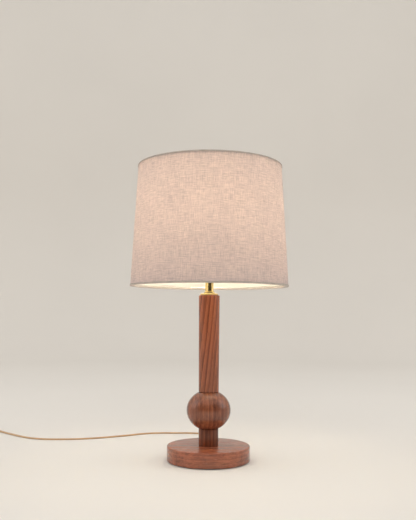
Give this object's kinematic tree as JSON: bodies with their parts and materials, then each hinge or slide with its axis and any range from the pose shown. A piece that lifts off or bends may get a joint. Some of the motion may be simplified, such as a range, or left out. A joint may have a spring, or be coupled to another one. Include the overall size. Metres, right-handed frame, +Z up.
{
  "type": "table lamp",
  "caption": "Table lamp with a turned wooden column, ball and round base, a brass neck and a tapered drum shade of linen held on a harp.",
  "frame": {"origin": "middle of the felt's underside, on the lamp's axis", "axes": "+Z up the stem, +Y out of the back where the cord leaves the base, +X to the right seen from the front"},
  "size_m": [0.6441, 0.4281, 0.4884],
  "materials": {
    "felt": "matt wool felt",
    "walnut": "satin reddish walnut stain, grain along the stem",
    "iron": "rough cast",
    "steel": "plain zinc-plated",
    "brass": "polished, lacquered",
    "phenolic": "moulded, satin",
    "ceramic": "unglazed porcelain",
    "card": "fibre sleeve",
    "aluminium": "plain drawn",
    "glass": "inside-frosted, warm",
    "tungsten": "drawn wire",
    "linen": "slubbed linen weave, lit from inside",
    "liner": "matt styrene backing, warm white",
    "tape": "woven edge tape",
    "cord": "translucent gold vinyl",
    "cord_plastic": "moulded vinyl"
  },
  "bodies": {
    "lamp": {"felt_pad": "felt", "base_disc": "walnut", "base_weight": "iron", "bottom_washer": "steel", "bottom_nut": "brass", "lower_neck": "walnut", "ball": "walnut", "column": "walnut", "threaded_rod": "steel", "check_ring": "brass", "brass_neck": "brass", "harp_saddle": "brass", "socket_cap": "brass", "socket_shell": "brass", "socket_insulator": "card", "socket_interior": "ceramic", "screw_shell": "aluminium", "centre_contact": "brass", "line_terminal": "brass", "neutral_terminal": "steel", "inner_cord": "cord", "strain_relief": "cord_plastic", "cord_lead": "cord", "cord_coil": "cord", "cord_tie": "phenolic", "cord_tail": "cord", "plug_body": "cord_plastic", "plug_blade_left": "brass", "plug_blade_right": "brass"},
    "switch": {"switch_shaft": "steel", "turn_knob": "phenolic"},
    "harp": {"harp": "brass"},
    "sleeve_left": {"harp_sleeve_left": "brass"},
    "sleeve_right": {"harp_sleeve_right": "brass"},
    "stud": {"harp_stud": "brass"},
    "shade": {"spider_frame": "brass", "bottom_ring": "steel", "shade_fabric": "linen", "shade_liner": "liner", "bottom_hem": "tape", "top_hem": "tape"},
    "finial": {"finial": "brass"},
    "bulb_seat": {"bulb_contact": "steel"},
    "bulb": {"bulb_base": "aluminium", "bulb_glass": "glass", "bulb_stem": "glass", "filament": "tungsten"}
  },
  "joints": [
    {"name": "switch_turn", "type": "hinge", "parent": "lamp", "child": "switch", "pos_m": [0, -0.0089, 0.325], "axis": [0, -1, 0], "continuous": true},
    {"name": "harp_lift", "type": "slide", "parent": "lamp", "child": "harp", "axis": [0, 0, 1], "range_m": [0, 0.012]},
    {"name": "sleeve_left_lift", "type": "slide", "parent": "harp", "child": "sleeve_left", "axis": [0, 0, 1], "range_m": [0, 0.014]},
    {"name": "sleeve_right_lift", "type": "slide", "parent": "harp", "child": "sleeve_right", "axis": [0, 0, 1], "range_m": [0, 0.014]},
    {"name": "shade_swivel", "type": "hinge", "parent": "harp", "child": "stud", "pos_m": [0, 0, 0.4538], "axis": [0, 0, 1], "continuous": true},
    {"name": "shade_lift", "type": "slide", "parent": "stud", "child": "shade", "axis": [0, 0, 1], "range_m": [0, 0.2]},
    {"name": "finial_turn", "type": "hinge", "parent": "shade", "child": "finial", "pos_m": [0, 0, 0.4644], "axis": [0, 0, 1], "continuous": true},
    {"name": "bulb_rise", "type": "slide", "parent": "lamp", "child": "bulb_seat", "axis": [0, 0, 1], "range_m": [0, 0.0146]},
    {"name": "bulb_turn", "type": "hinge", "parent": "bulb_seat", "child": "bulb", "pos_m": [0, 0, 0.3362], "axis": [0, 0, 1], "range_deg": [0, 1440]}
  ],
  "couplings": [
    {"joint": "bulb_rise", "follows": "bulb_turn", "m_per_rad": 0.0005775}
  ]
}
